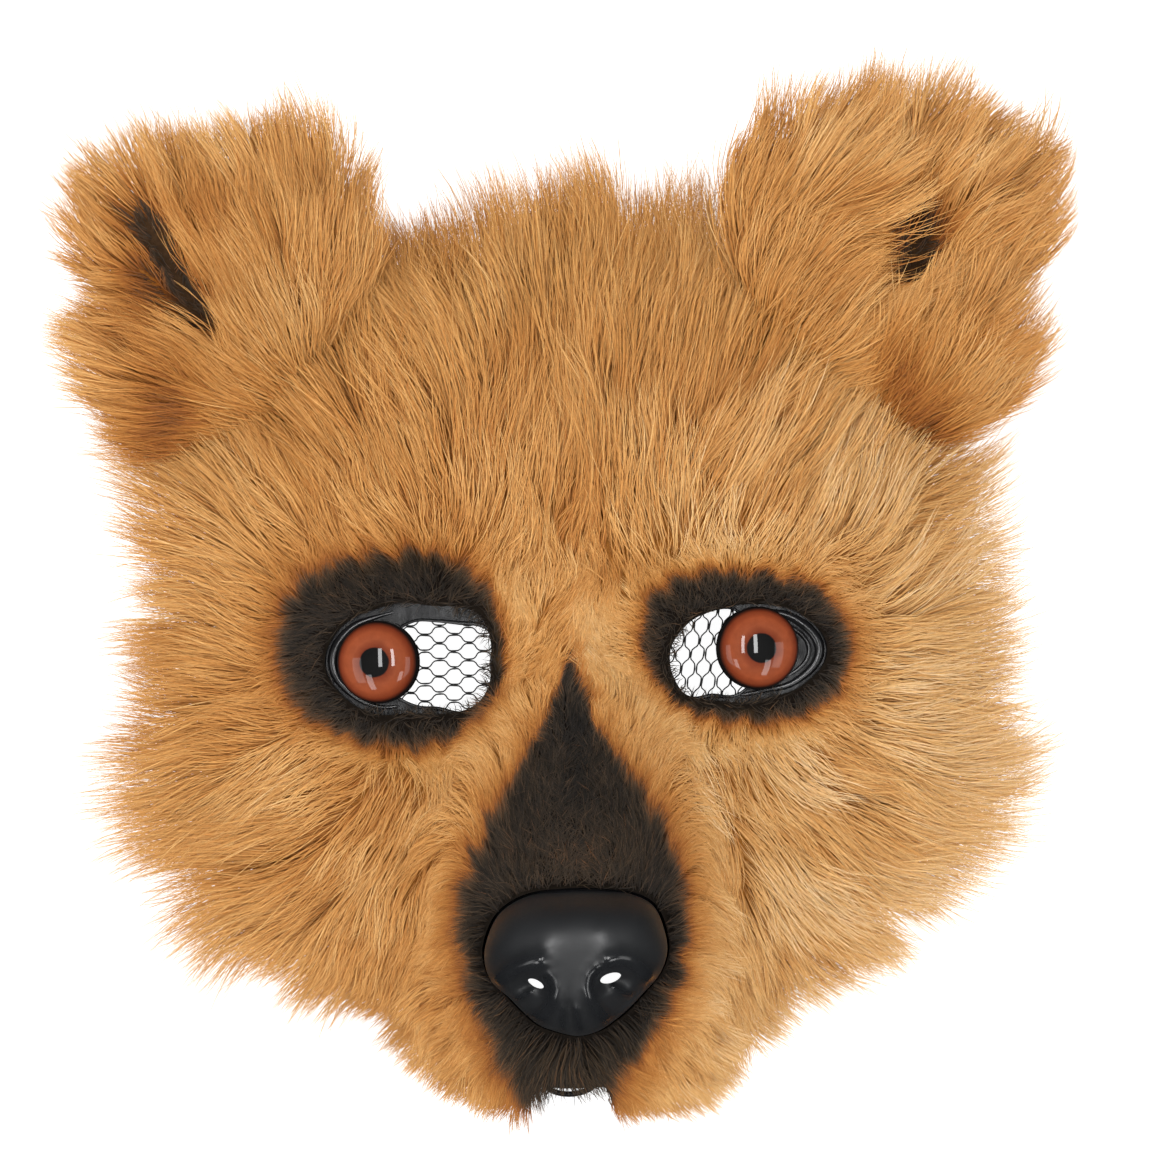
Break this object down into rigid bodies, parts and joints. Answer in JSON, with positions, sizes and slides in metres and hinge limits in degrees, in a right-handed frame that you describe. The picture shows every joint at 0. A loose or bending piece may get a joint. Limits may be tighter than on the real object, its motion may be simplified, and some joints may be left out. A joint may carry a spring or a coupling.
{
  "type": "bear mask",
  "caption": "Rigid half-face bear mask lying face up: plastic shell with open back, long fur cover, fur ears, domed eyes, netted eye windows and moulded nose.",
  "frame": {"origin": "centre of the object's box, in the plane of the rim that it rests on", "axes": "+Z out of the face, +Y towards the crown, +X to the viewer's right"},
  "size_m": [0.2462, 0.2532, 0.1171],
  "materials": {
    "shell_plastic": "glossy black moulded plastic",
    "face_fur": "long golden-tan pile, short and dark round the eyes and on the muzzle",
    "ear_fur": "long golden-tan pile",
    "eye_plastic": "clear glossy dome over a brown iris",
    "net": "fine black net",
    "nose_plastic": "satin black",
    "elastic": "woven black elastic"
  },
  "bodies": {
    "root": {"mask_shell": "shell_plastic", "fur_cover": "face_fur", "ear_left": "ear_fur", "ear_right": "ear_fur", "eye_left": "eye_plastic", "eye_right": "eye_plastic", "eye_mesh_left": "net", "eye_mesh_right": "net", "nose": "nose_plastic", "elastic_strap": "elastic"}
  },
  "joints": []
}
